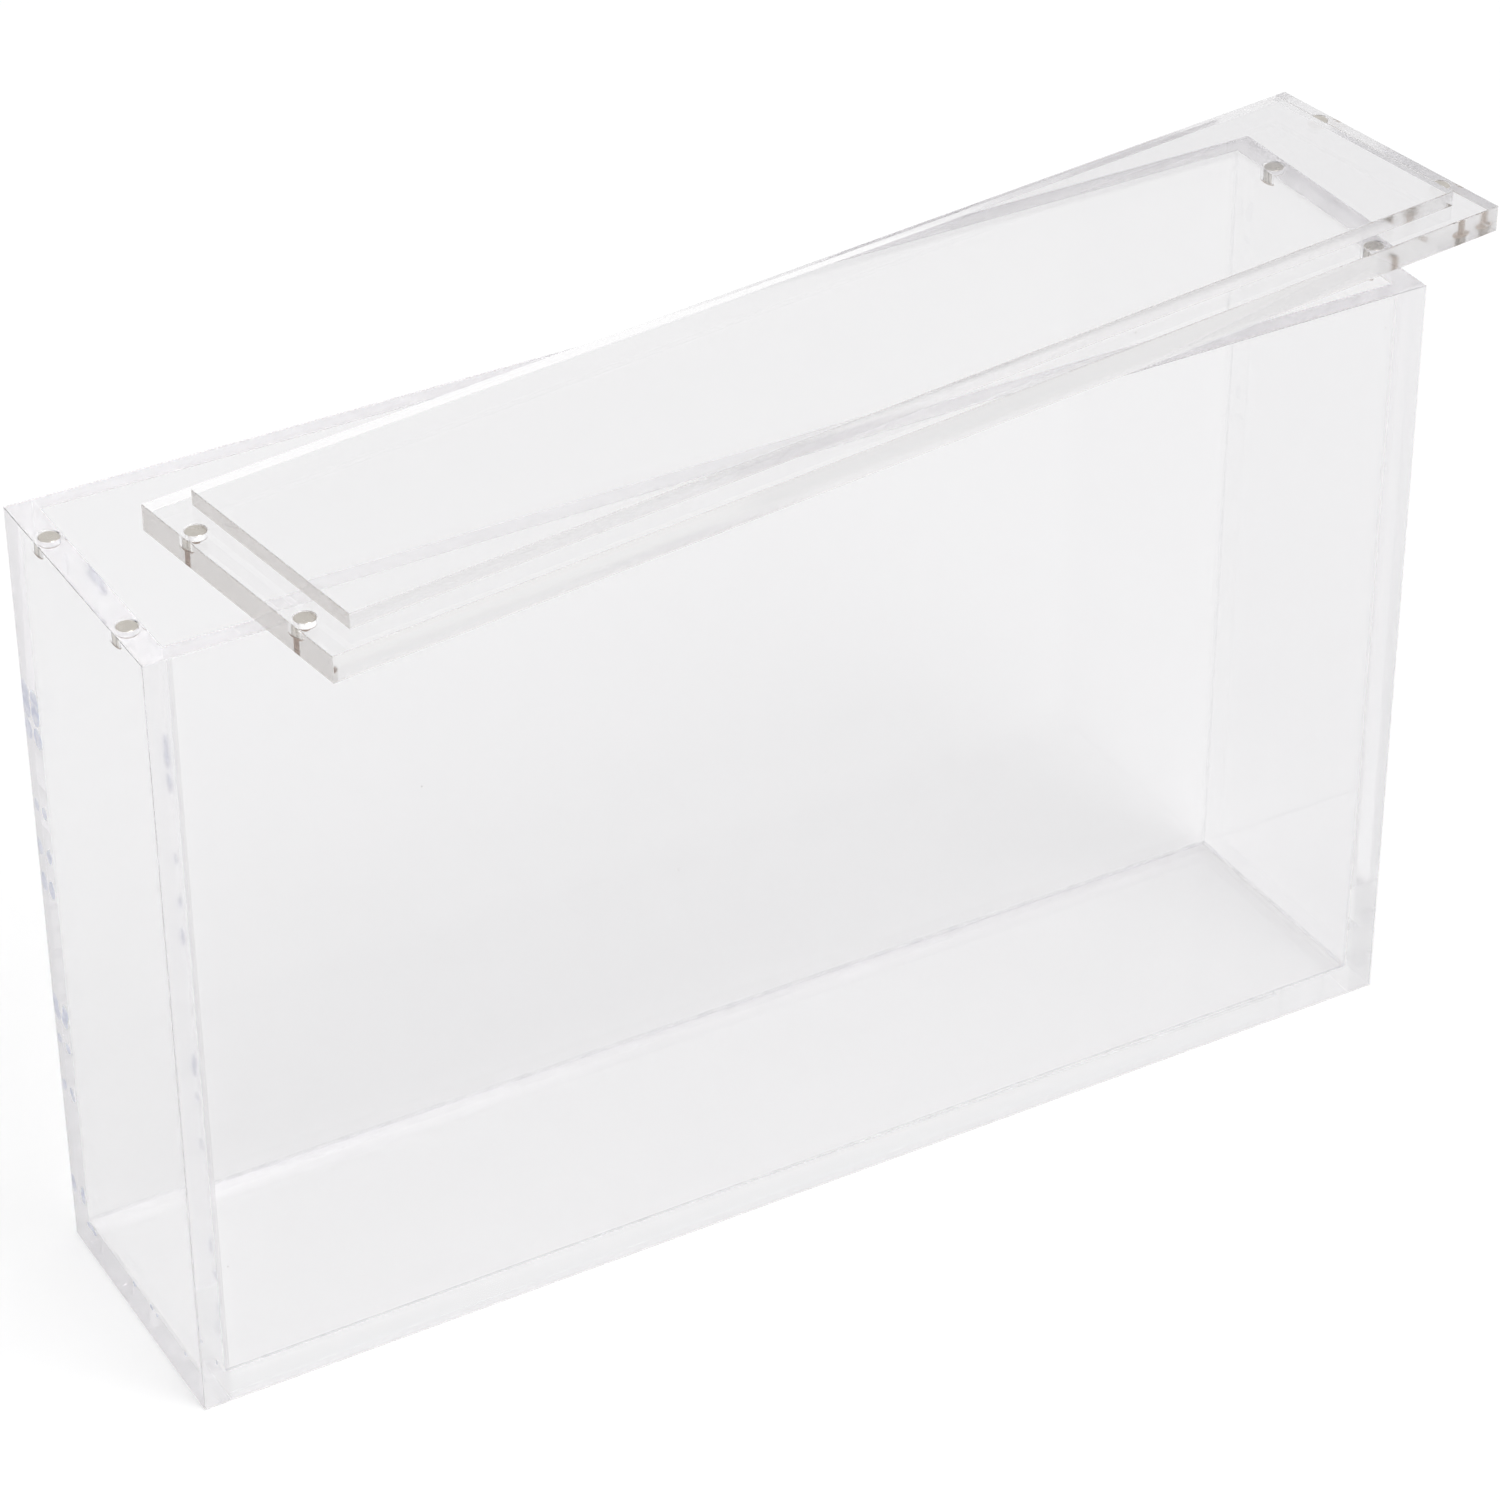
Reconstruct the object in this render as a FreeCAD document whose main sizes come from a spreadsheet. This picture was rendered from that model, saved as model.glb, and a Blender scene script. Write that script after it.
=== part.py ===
"""Clear sheet holder with a loose drop-in lid held by small disc magnets.

Frame: millimetres, +Z up, +X along the length, -Y is the front.
Origin: centre of the case's underside, so the case stands on Z = 0.
The lid lies upside down on the rim, moved along and turned, with its plug layer facing up.
"""

import FreeCAD, Part
import Sketcher
import os

SIZES = {
    "case_length": 200.0,
    "case_depth": 45.3,
    "case_height": 124.3,
    "end_sheet": 4.1,
    "wall_sheet": 3.1,
    "base_sheet": 4.1,
    "case_edge_break": 0.25,
    "lid_length": 200.8,
    "lid_depth": 46.5,
    "lid_sheet": 4.1,
    "lid_edge_break": 0.2,
    "plug_sheet": 2.3,
    "plug_end_inset": 5.3,
    "plug_side_inset": 4.1,
    "plug_edge_break": 0.2,
    "lid_shift_x": 16.1,
    "lid_shift_y": -3.3,
    "lid_turn": 6.9,
    "magnet_diameter": 3.0,
    "magnet_thickness": 2.0,
    "magnet_edge_break": 0.12,
    "magnet_sink": 0.05,
    "magnet_from_end": 2.3,
    "magnet_from_side": 10.0,
    "pocket_diameter": 3.1,
    "pocket_depth": 2.25,
    "pilot_diameter": 1.2,
}

SHEET = "Sizes"
SIDES = {"left": -1, "right": 1}
FACES = {"front": -1, "back": 1}
VOLUME_TOLERANCE = 1e-3


def make_sheet(doc):
    """Write the driving dimensions into a spreadsheet, one alias to a row."""
    sheet = doc.addObject("Spreadsheet::Sheet", SHEET)
    for row, (alias, value) in enumerate(SIZES.items(), start=1):
        sheet.set(f"A{row}", alias)
        sheet.set(f"B{row}", str(value))
        sheet.setAlias(f"B{row}", alias)
    doc.recompute()
    return sheet


def cells(formula):
    """Point every dimension named in a formula at its cell."""
    words = formula.replace("(", " ( ").replace(")", " ) ").split()
    return " ".join(f"{SHEET}.{word}" if word in SIZES else word for word in words)


def new_body(doc, label, on_lid):
    """Start a piece in the case's frame, or in the frame of the lid as it lies."""
    body = doc.addObject("PartDesign::Body", label)
    body.Label = label
    if on_lid:
        body.Placement = FreeCAD.Placement(
            FreeCAD.Vector(0, 0, 0), FreeCAD.Rotation(FreeCAD.Vector(0, 0, 1), 1)
        )
        body.setExpression("Placement.Base.x", cells("lid_shift_x"))
        body.setExpression("Placement.Base.y", cells("lid_shift_y"))
        body.setExpression("Placement.Base.z", cells("case_height"))
        body.setExpression("Placement.Rotation.Angle", cells("lid_turn"))
    return body


def new_sketch(body, name, place):
    """Attach a sketch parallel to the body's own XY plane, with its centre at a place."""
    sketch = body.newObject("Sketcher::SketchObject", name)
    ground = [plane for plane in body.Origin.OriginFeatures if plane.Role == "XY_Plane"][0]
    sketch.AttachmentSupport = [(ground, "")]
    sketch.MapMode = "FlatFace"
    for axis, formula in zip("xyz", place):
        sketch.setExpression(f"AttachmentOffset.Base.{axis}", cells(formula))
    return sketch


def draw_rectangle(sketch, width, depth):
    """Draw a rectangle centred on the sketch, its two sizes bound to the sheet."""
    corners = [(-5, -5), (5, -5), (5, 5), (-5, 5)]
    for index, start in enumerate(corners):
        end = corners[(index + 1) % 4]
        line = Part.LineSegment(FreeCAD.Vector(*start, 0), FreeCAD.Vector(*end, 0))
        sketch.addGeometry(line, False)
    for index in range(4):
        sketch.addConstraint(Sketcher.Constraint("Coincident", index, 2, (index + 1) % 4, 1))
    for index, direction in enumerate(("Horizontal", "Vertical", "Horizontal", "Vertical")):
        sketch.addConstraint(Sketcher.Constraint(direction, index))
    sketch.addConstraint(Sketcher.Constraint("Symmetric", 0, 1, 2, 1, -1, 1))
    across = sketch.addConstraint(Sketcher.Constraint("DistanceX", 0, 1, 0, 2, 10))
    along = sketch.addConstraint(Sketcher.Constraint("DistanceY", 1, 1, 1, 2, 10))
    sketch.setExpression(f"Constraints[{across}]", cells(width))
    sketch.setExpression(f"Constraints[{along}]", cells(depth))


def draw_circle(sketch, diameter):
    """Draw a circle centred on the sketch, its diameter bound to the sheet."""
    circle = Part.Circle(FreeCAD.Vector(0, 0, 0), FreeCAD.Vector(0, 0, 1), 1)
    sketch.addGeometry(circle, False)
    sketch.addConstraint(Sketcher.Constraint("Coincident", 0, 3, -1, 1))
    size = sketch.addConstraint(Sketcher.Constraint("Diameter", 0, 2))
    sketch.setExpression(f"Constraints[{size}]", cells(diameter))


def pad(body, name, sketch, height, downwards=False):
    """Raise a sketch into a solid."""
    feature = body.newObject("PartDesign::Pad", name)
    feature.Profile = sketch
    feature.Reversed = downwards
    feature.setExpression("Length", cells(height))
    sketch.Visibility = False
    return feature


def pocket(body, name, sketch, depth):
    """Cut a sketch down into the solid, against the sketch's upward normal."""
    feature = body.newObject("PartDesign::Pocket", name)
    feature.Profile = sketch
    feature.setExpression("Length", cells(depth))
    sketch.Visibility = False
    return feature


def break_edges(doc, body, size, wanted):
    """Chamfer the edges of the body that the wanted test picks, given each edge's box."""
    doc.recompute()
    base = body.Tip
    picked = []
    for number, edge in enumerate(base.Shape.Edges, start=1):
        if wanted(edge.BoundBox):
            picked.append(f"Edge{number}")
    feature = body.newObject("PartDesign::Chamfer", "EdgeBreak")
    feature.Base = (base, picked)
    feature.setExpression("Size", cells(size))
    base.Visibility = False


def flat_at(low, high, level):
    """Say whether an edge lies wholly at one level along an axis."""
    return abs(low - level) < 1e-6 and abs(high - level) < 1e-6


def make_panel(doc, label, size, place, on_lid=False):
    """Cut a rectangular panel from sheet and stand it in its place."""
    body = new_body(doc, label, on_lid)
    sketch = new_sketch(body, "Outline", place)
    draw_rectangle(sketch, size[0], size[1])
    pad(body, "Sheet", sketch, size[2])
    return body


def drill(body, name, place, diameter, depth):
    """Drill one flat-bottomed hole straight down from a place on the top face."""
    sketch = new_sketch(body, f"{name}Circle", place)
    draw_circle(sketch, diameter)
    pocket(body, name, sketch, depth)


def magnet_spot(length, depth, side, face):
    """Give a magnet's centre from the length and depth of the sheet that holds it."""
    across = f"{SIDES[side]} * ( {length} / 2 - magnet_from_end )"
    along = f"{FACES[face]} * ( {depth} / 2 - magnet_from_side )"
    return across, along


def make_end_panel(doc, side):
    """Make an end panel, full depth and height, with two blind magnet pockets in its top edge."""
    across = f"{SIDES[side]} * ( case_length - end_sheet ) / 2"
    size = ("end_sheet", "case_depth", "case_height")
    body = make_panel(doc, f"{side}_end_panel", size, (across, "0", "0"))
    outer = SIDES[side] * SIZES["case_length"] / 2
    break_edges(doc, body, "case_edge_break", lambda box: flat_at(box.XMin, box.XMax, outer))
    for face in FACES:
        spot = magnet_spot("case_length", "case_depth", side, face)
        drill(body, f"{face}Pocket", (*spot, "case_height"), "pocket_diameter", "pocket_depth")
    return body


def make_long_panel(doc, face):
    """Make the front or back panel, which butts between the end panels."""
    along = f"{FACES[face]} * ( case_depth - wall_sheet ) / 2"
    size = ("case_length - 2 * end_sheet", "wall_sheet", "case_height")
    return make_panel(doc, f"{face}_panel", size, ("0", along, "0"))


def make_base_panel(doc):
    """Make the floor, which butts between all four upright panels."""
    size = ("case_length - 2 * end_sheet", "case_depth - 2 * wall_sheet", "base_sheet")
    return make_panel(doc, "base_panel", size, ("0", "0", "0"))


def make_lid_plate(doc):
    """Make the lid's cover sheet, with four stepped magnet holes from its inner face."""
    size = ("lid_length", "lid_depth", "lid_sheet")
    body = make_panel(doc, "lid_plate", size, ("0", "0", "0"), on_lid=True)
    break_edges(doc, body, "lid_edge_break", lambda box: True)
    for side in SIDES:
        for face in FACES:
            spot = magnet_spot("lid_length", "lid_depth", side, face)
            corner = f"{side}{face}"
            drill(body, f"{corner}Pilot", (*spot, "lid_sheet"), "pilot_diameter", "lid_sheet")
            drill(body, f"{corner}Pocket", (*spot, "lid_sheet"), "pocket_diameter", "pocket_depth")
    return body


def make_lid_plug(doc):
    """Make the thinner sheet on the lid's inner face, which drops between the case's walls."""
    size = ("lid_length - 2 * plug_end_inset", "lid_depth - 2 * plug_side_inset", "plug_sheet")
    body = make_panel(doc, "lid_plug", size, ("0", "0", "lid_sheet"), on_lid=True)
    glued = SIZES["lid_sheet"]
    break_edges(
        doc, body, "plug_edge_break", lambda box: not flat_at(box.ZMin, box.ZMax, glued)
    )
    return body


def make_magnet(doc, label, spot, surface, on_lid):
    """Make a disc magnet whose top sits just under the surface that it is let into."""
    body = new_body(doc, label, on_lid)
    bottom = f"{surface} - magnet_sink - magnet_thickness"
    sketch = new_sketch(body, "Round", (*spot, bottom))
    draw_circle(sketch, "magnet_diameter")
    pad(body, "Disc", sketch, "magnet_thickness")
    break_edges(doc, body, "magnet_edge_break", lambda box: box.ZLength < 1e-6)
    return body


def make_glue(doc, label, spot, surface, on_lid):
    """Make the adhesive under a magnet, and in the lid also the part that fills the pilot hole."""
    body = new_body(doc, label, on_lid)
    bottom = f"{surface} - pocket_depth"
    bed = new_sketch(body, "BedCircle", (*spot, bottom))
    draw_circle(bed, "pocket_diameter")
    pad(body, "Bed", bed, "pocket_depth - magnet_sink - magnet_thickness")
    if on_lid:
        stem = new_sketch(body, "StemCircle", (*spot, bottom))
        draw_circle(stem, "pilot_diameter")
        pad(body, "Stem", stem, "lid_sheet - pocket_depth", downwards=True)
    return body


def make_corner_pieces(doc):
    """Make the magnet and the adhesive of every corner of the case and of the lid."""
    pieces = []
    for side in SIDES:
        for face in FACES:
            case_spot = magnet_spot("case_length", "case_depth", side, face)
            lid_spot = magnet_spot("lid_length", "lid_depth", side, face)
            corner = f"{side}_{face}"
            pieces += [
                make_magnet(doc, f"case_magnet_{corner}", case_spot, "case_height", False),
                make_glue(doc, f"case_glue_{corner}", case_spot, "case_height", False),
                make_magnet(doc, f"lid_magnet_{corner}", lid_spot, "lid_sheet", True),
                make_glue(doc, f"lid_glue_{corner}", lid_spot, "lid_sheet", True),
            ]
    return pieces


def check_document(doc, pieces):
    """Stop before anything is written if an object failed, a shape is bad or a cut cut nothing."""
    for item in doc.Objects:
        if "Invalid" in item.State or "Error" in item.State:
            raise RuntimeError(f"{item.Label} failed: {item.State}")
        if item.TypeId == "PartDesign::Pocket":
            removed = item.BaseFeature.Shape.Volume - item.Shape.Volume
            if removed < VOLUME_TOLERANCE:
                raise RuntimeError(f"{item.Label} cuts nothing")
    for piece in pieces:
        shape = piece.Shape
        if shape.isNull() or not shape.isValid() or len(shape.Solids) != 1:
            raise RuntimeError(f"{piece.Label} is not one valid solid")


def export(pieces):
    """Write one STEP file for each piece, named after the piece."""
    os.makedirs("parts", exist_ok=True)
    for piece in pieces:
        piece.Shape.exportStep(f"parts/{piece.Label}.step")
        print(f"{piece.Label:26s} {piece.Shape.Volume:10.2f} mm3")


def main():
    """Build every piece, check them and write them."""
    doc = FreeCAD.newDocument("MagnetLidHolder")
    make_sheet(doc)
    pieces = [make_end_panel(doc, side) for side in SIDES]
    pieces += [make_long_panel(doc, face) for face in FACES]
    pieces += [make_base_panel(doc), make_lid_plate(doc), make_lid_plug(doc)]
    pieces += make_corner_pieces(doc)
    doc.recompute()
    check_document(doc, pieces)
    export(pieces)


main()
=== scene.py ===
"""Looks of a clear acrylic holder with a loose drop-in lid and small disc magnets.

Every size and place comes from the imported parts. The case stands on Z = 0, X runs along its
length and -Y is its front. The lid lies upside down and askew on the rim.
"""

import math

import bmesh
import bpy
from mathutils import Matrix, Vector


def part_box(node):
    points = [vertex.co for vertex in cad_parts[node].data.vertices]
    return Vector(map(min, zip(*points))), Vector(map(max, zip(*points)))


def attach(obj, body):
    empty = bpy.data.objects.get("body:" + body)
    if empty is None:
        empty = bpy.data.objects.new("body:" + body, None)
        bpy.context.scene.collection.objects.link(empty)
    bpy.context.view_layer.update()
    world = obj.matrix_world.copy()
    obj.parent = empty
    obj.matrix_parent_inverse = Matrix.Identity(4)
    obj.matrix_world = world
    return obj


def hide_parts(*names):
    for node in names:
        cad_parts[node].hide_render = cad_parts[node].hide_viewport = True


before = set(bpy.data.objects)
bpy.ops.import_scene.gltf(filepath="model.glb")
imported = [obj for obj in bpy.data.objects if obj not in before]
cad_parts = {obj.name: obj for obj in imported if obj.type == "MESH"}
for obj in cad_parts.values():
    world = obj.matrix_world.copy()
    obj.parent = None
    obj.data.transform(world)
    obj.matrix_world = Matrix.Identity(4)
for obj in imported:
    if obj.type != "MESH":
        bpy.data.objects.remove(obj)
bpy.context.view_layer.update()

# Sheets, welds and magnet holes
SIDES = ("left", "right")
FACES = ("front", "back")
MM = 0.001
EDGE_ROUND = 0.1 * MM
LID_EDGE_ROUND = 0.12 * MM
FLAT = 1e-6
LID_AIR_GAP = 0.03 * MM
WELD_GAP = 0.01 * MM
GLUE_WETS_IN = 0.02 * MM
MOUTH_FLARE = 0.06 * MM
PILOT_RADIUS = 0.6 * MM
BEAD_THICKNESS = 0.2 * MM
BEAD_LEG = 0.4 * MM
BEAD_CLEARANCE = 0.01 * MM
BEAD_STEPS = 6
FILM_THICKNESS = 0.02 * MM
HOLE_STEPS = 48

# Share of the view that the cement hides
UPRIGHT_BEAD_COVER = 0.05
BASE_BEAD_COVER = 0.13
BASE_END_FILM_COVER = 0.03
BASE_BACK_FILM_COVER = 0.02
UPRIGHT_FILM_COVER = 0.02

# Painted shade of the faces and edges: a grey tint set for each face to match how dark it looks in this
# light
FACE_PAINTED_SHADE = {"left_end": 0.4, "right_end": 0.8, "front": 0.12, "back": 0.72, "base": 0.28}
RIM_PAINTED_SHADE = 0.05
UPRIGHT_EDGE_PAINTED_SHADE = 0.85
LID_EDGE_PAINTED_SHADE = 0.4
LID_FACE_PAINTED_SHADE = 0.12
OVERHANG_PAINTED_SHADE = 0.95
OVERHANG_LEAD = 4 * MM
OVERHANG_FADE = 1.5 * MM
PAINTED_SHADE_TINT = (0.80, 0.795, 0.805)

# Acrylic, nickel, adhesive and cement
ACRYLIC_IOR = 1.49
CASE_ABSORB = (0.28, 0.16, 0.30)
CASE_ABSORB_DENSITY = 0.36
CASE_CUT_ROUGHNESS = 0.12
LID_ABSORB = (0.45, 0.38, 0.31)
LID_ABSORB_DENSITY = 1.2
LID_CUT_ROUGHNESS = 0.13
CUT_MARK_ROUGHNESS = 0.05
DRILLED_ROUGHNESS = 0.12
MARK_ROUGHNESS = 0.12
SHEET_MARKS = 0.5
NICKEL_MARKS = 1.0
NICKEL_DENT = 0.02 * MM
SCRATCHES = ((0.5, 900.0), (-0.9, 1300.0), (1.9, 700.0))
SCRATCH_RUN = 14.0
SCRATCH_BAND = (0.71, 0.76)
SMEAR_SCALE = 35.0
SMEAR_BAND = (0.45, 0.75)
CUTTER_RIPPLE = (1500.0, 1500.0, 4.0)
CUTTER_BAND = (0.4, 0.7)
CLOUD_BAND = (0.3, 0.7)
DUST_SPREAD = 71.0
DUST_SIZE = 0.0095
DUST_TINT = (0.25, 0.22, 0.19)
NICKEL_SHADES = ((0.50, 0.47, 0.43), (0.66, 0.63, 0.58))
ADHESIVE_SHADES = {
    "left": ((0.20, 0.13, 0.10), (0.42, 0.32, 0.26)),
    "right": ((0.52, 0.44, 0.38), (0.70, 0.63, 0.57)),
}
VOID_SHADES = ((0.56, 0.59, 0.74), (0.80, 0.81, 0.88))
CEMENT_SHADES = ((0.60, 0.60, 0.56), (0.74, 0.74, 0.84))

# Voids in the welded seams
RUFFLE_DEPTH = 0.05 * MM
RUFFLE_PITCH = 0.35 * MM
RUFFLE_ACROSS = 1.7
RUFFLE_SHIFT = 1.3
RUFFLE_SIDEWAYS = 0.4
RUFFLE_SIDE_PITCH = 2.3
DOT_SIZES = (0.35 * MM, 0.5 * MM)
DOT_DEPTHS = (0.5 * MM, 0.2 * MM)
DOT_FRONT_MARGIN = 4 * MM
DOT_BACK_LIMIT = 5 * MM
DOT_FLATNESS = (0.15, 1.1, 0.9)
PATCH_SIZES = (0.5 * MM, 0.8 * MM)
PATCH_DEPTHS = (1.2 * MM, 0.8 * MM)
PATCH_LENGTH = 2 * MM
PATCH_FLATNESS = (0.15, 1.4, 0.8)
UPRIGHT_VOID_DRIFT = 0.35 * MM
UPRIGHT_VOID_FLATNESS = (0.08, 1.0, 1.2)
# Name, count, largest radius, seed, and reach up the seam as shares of the back panel's height.
UPRIGHT_VOIDS = (
    ("seam_voids_upper", 5, 1.5 * MM, 3, (0.69, 0.76)),
    ("seam_voids_middle", 9, 1.1 * MM, 8, (0.28, 0.68)),
    ("seam_voids_lower", 7, 0.8 * MM, 5, (0.05, 0.30)),
)

# Floor, light and camera
FLOOR_REACH = 3.0
FLOOR_DROP = 0.05 * MM
FLOOR_SHADE = 0.94
SURROUND_STOPS = ((0.0, 0.94), (0.5, 0.94), (1.0, 1.06))
SOFTBOX_SIZE = 0.45
SOFTBOX_POWER = 3.0
SOFTBOX_DISTANCE = 1.3
SOFTBOX_WAY = (0.177, -0.503, 0.845)
CAMERA_AZIMUTH = math.radians(-29.618)
CAMERA_ELEVATION = math.radians(33.913)
CAMERA_ROLL = math.radians(-0.245)
CAMERA_AIM = Vector((1.54, 0.49, 63.93)) * MM
CAMERA_DISTANCE = 723.5 * MM
CAMERA_LENS = 119.76
SENSOR_WIDTH = 36.0
LIGHT_TURNS = 128


# ---------------------------------------------------------------- places taken from the parts


def centre_of(node):
    """Middle of a part's box."""
    low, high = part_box(node)
    return (low + high) / 2


def lid_frame():
    """The lid's own frame as it lies on the rim: centre of its underside, turned about Z."""
    corners = [centre_of(f"lid_magnet_{side}_{face}") for side in SIDES for face in FACES]
    middle = sum(corners, Vector()) / len(corners)
    along = corners[2] - corners[0]
    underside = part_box("lid_plate")[0].z
    turn = Matrix.Rotation(math.atan2(along.y, along.x), 4, "Z")
    return Matrix.Translation((middle.x, middle.y, underside)) @ turn


def turned_size(node, angle):
    """Length and depth of a rectangle that was turned by an angle, from its upright box."""
    low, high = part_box(node)
    across, deep = high.x - low.x, high.y - low.y
    cosine, sine = math.cos(angle), math.sin(angle)
    spread = cosine * cosine - sine * sine
    return (across * cosine - deep * sine) / spread, (deep * cosine - across * sine) / spread


# ---------------------------------------------------------------- shader building blocks


def new_group(name, inputs, outputs):
    """Start a shader node group with named number inputs and outputs."""
    tree = bpy.data.node_groups.new(name, "ShaderNodeTree")
    for label, default in inputs:
        socket = tree.interface.new_socket(label, in_out="INPUT", socket_type="NodeSocketFloat")
        socket.default_value = default
    for label in outputs:
        tree.interface.new_socket(label, in_out="OUTPUT", socket_type="NodeSocketFloat")
    return tree, tree.nodes.new("NodeGroupInput"), tree.nodes.new("NodeGroupOutput")


def add_math(tree, operation, first, second=None, clamp=False):
    """Add a maths node; each operand is a socket or a number."""
    node = tree.nodes.new("ShaderNodeMath")
    node.operation = operation
    node.use_clamp = clamp
    for socket, operand in zip(node.inputs, (first, second)):
        if isinstance(operand, (int, float)):
            socket.default_value = operand
        elif operand is not None:
            tree.links.new(operand, socket)
    return node.outputs[0]


def map_range(tree, value, band, to_low=0.0, to_high=1.0):
    """Add a smooth clamped change from a band of values to another range."""
    node = tree.nodes.new("ShaderNodeMapRange")
    node.interpolation_type = "SMOOTHSTEP"
    tree.links.new(value, node.inputs["Value"])
    for label, number in (
        ("From Min", band[0]),
        ("From Max", band[1]),
        ("To Min", to_low),
        ("To Max", to_high),
    ):
        node.inputs[label].default_value = number
    return node.outputs["Result"]


def object_point(tree, stretch=(1, 1, 1), turn=(0, 0, 0)):
    """Add the object-space coordinates, stretched and turned."""
    place = tree.nodes.new("ShaderNodeTexCoord")
    mapping = tree.nodes.new("ShaderNodeMapping")
    mapping.inputs["Scale"].default_value = stretch
    mapping.inputs["Rotation"].default_value = turn
    tree.links.new(place.outputs["Object"], mapping.inputs["Vector"])
    return mapping.outputs["Vector"]


def noise(tree, vector, scale, detail=2.0):
    """Add a noise texture and give its value."""
    node = tree.nodes.new("ShaderNodeTexNoise")
    node.inputs["Scale"].default_value = scale
    node.inputs["Detail"].default_value = detail
    tree.links.new(vector, node.inputs["Vector"])
    return node.outputs["Fac"]


def mix_colours(tree, factor, first, second):
    """Add a colour mix; each colour is a socket or three numbers."""
    node = tree.nodes.new("ShaderNodeMix")
    node.data_type = "RGBA"
    tree.links.new(factor, node.inputs["Factor"])
    for label, colour in (("A", first), ("B", second)):
        socket = next(item for item in node.inputs if item.name == label and item.type == "RGBA")
        if isinstance(colour, tuple):
            socket.default_value = (*colour, 1)
        else:
            tree.links.new(colour, socket)
    return next(item for item in node.outputs if item.type == "RGBA")


def read_attribute(tree, name):
    """Add a face attribute and give its value."""
    node = tree.nodes.new("ShaderNodeAttribute")
    node.attribute_name = name
    return node.outputs["Fac"]


def place_group(tree, group, **values):
    """Place a shader group in a material with its own values."""
    node = tree.nodes.new("ShaderNodeGroup")
    node.node_tree = group
    for label, value in values.items():
        node.inputs[label.replace("_", " ").capitalize()].default_value = value
    return node.outputs


def handling_marks_group():
    """Fine wiping scratches and soft smears that polished sheet and nickel both pick up."""
    tree, given, made = new_group("handling_marks", [("Amount", 1.0)], ["Mask"])
    strokes = []
    for turn, stretch in SCRATCHES:
        turns = (turn, turn * 0.7, turn * 1.3)
        point = object_point(tree, (stretch, SCRATCH_RUN, SCRATCH_RUN), turns)
        line = noise(tree, point, scale=1.0, detail=1.0)
        strokes.append(map_range(tree, line, SCRATCH_BAND))
    pair = add_math(tree, "MAXIMUM", strokes[0], strokes[1])
    scratches = add_math(tree, "MAXIMUM", pair, strokes[2])
    blotches = noise(tree, object_point(tree), SMEAR_SCALE, detail=4.0)
    smear = map_range(tree, blotches, SMEAR_BAND)
    patchy = add_math(tree, "MULTIPLY", scratches, smear)
    scaled = add_math(tree, "MULTIPLY", patchy, given.outputs["Amount"], clamp=True)
    tree.links.new(scaled, made.inputs["Mask"])
    return tree


def cut_marks_group():
    """Fine parallel cutter marks across the sawn and polished edges of the sheet."""
    tree, given, made = new_group("cut_marks", [("Amount", 1.0)], ["Mask"])
    lines = noise(tree, object_point(tree, CUTTER_RIPPLE), scale=1.0, detail=3.0)
    ripple = map_range(tree, lines, CUTTER_BAND)
    scaled = add_math(tree, "MULTIPLY", ripple, given.outputs["Amount"])
    tree.links.new(scaled, made.inputs["Mask"])
    return tree


def dust_specks_group():
    """Sparse tiny specks of dust that cling to the clear sheets of case and lid."""
    tree, given, made = new_group("dust_specks", [("Spread", 30.0), ("Size", 0.01)], ["Mask"])
    cells = tree.nodes.new("ShaderNodeTexVoronoi")
    tree.links.new(object_point(tree), cells.inputs["Vector"])
    tree.links.new(given.outputs["Spread"], cells.inputs["Scale"])
    near = add_math(tree, "LESS_THAN", cells.outputs["Distance"], given.outputs["Size"])
    tree.links.new(near, made.inputs["Mask"])
    return tree


def new_material(name):
    """Start a material and give its tree, its Principled shader and its output."""
    material = bpy.data.materials.new(name)
    material.use_nodes = True
    tree = material.node_tree
    return material, tree, tree.nodes["Principled BSDF"], tree.nodes["Material Output"]


def add_bump(tree, shader, height, strength, distance):
    """Feed a height to the shader's normal."""
    bump = tree.nodes.new("ShaderNodeBump")
    bump.inputs["Strength"].default_value = strength
    bump.inputs["Distance"].default_value = distance
    tree.links.new(height, bump.inputs["Height"])
    tree.links.new(bump.outputs["Normal"], shader.inputs["Normal"])


def add_cloudy_colour(tree, shader, cloud, shades, reach=(0.0, 1.0)):
    """Colour the shader from one shade to the other as a cloud value rises over its reach."""
    ramp = tree.nodes.new("ShaderNodeValToRGB")
    for element, position, shade in zip(ramp.color_ramp.elements, reach, shades):
        element.position = position
        element.color = (*shade, 1)
    tree.links.new(cloud, ramp.inputs["Fac"])
    tree.links.new(ramp.outputs["Color"], shader.inputs["Base Color"])


def overhang_painted_shade(tree, painted_shade):
    """Add more painted shade to the lid where it stands out past the case."""
    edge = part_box("right_end_panel")[1]
    end, back = edge.x - OVERHANG_LEAD, edge.y - OVERHANG_LEAD
    split = tree.nodes.new("ShaderNodeSeparateXYZ")
    tree.links.new(object_point(tree), split.inputs["Vector"])
    past_end = map_range(tree, split.outputs["X"], (end - OVERHANG_FADE, end))
    past_back = map_range(tree, split.outputs["Y"], (back - OVERHANG_FADE, back))
    past = add_math(tree, "MAXIMUM", past_end, past_back)
    # Painted shade: the lid greyed further past the case's right end and back.
    extra = add_math(tree, "MULTIPLY", past, OVERHANG_PAINTED_SHADE)
    return add_math(tree, "ADD", painted_shade, extra, clamp=True)


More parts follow.
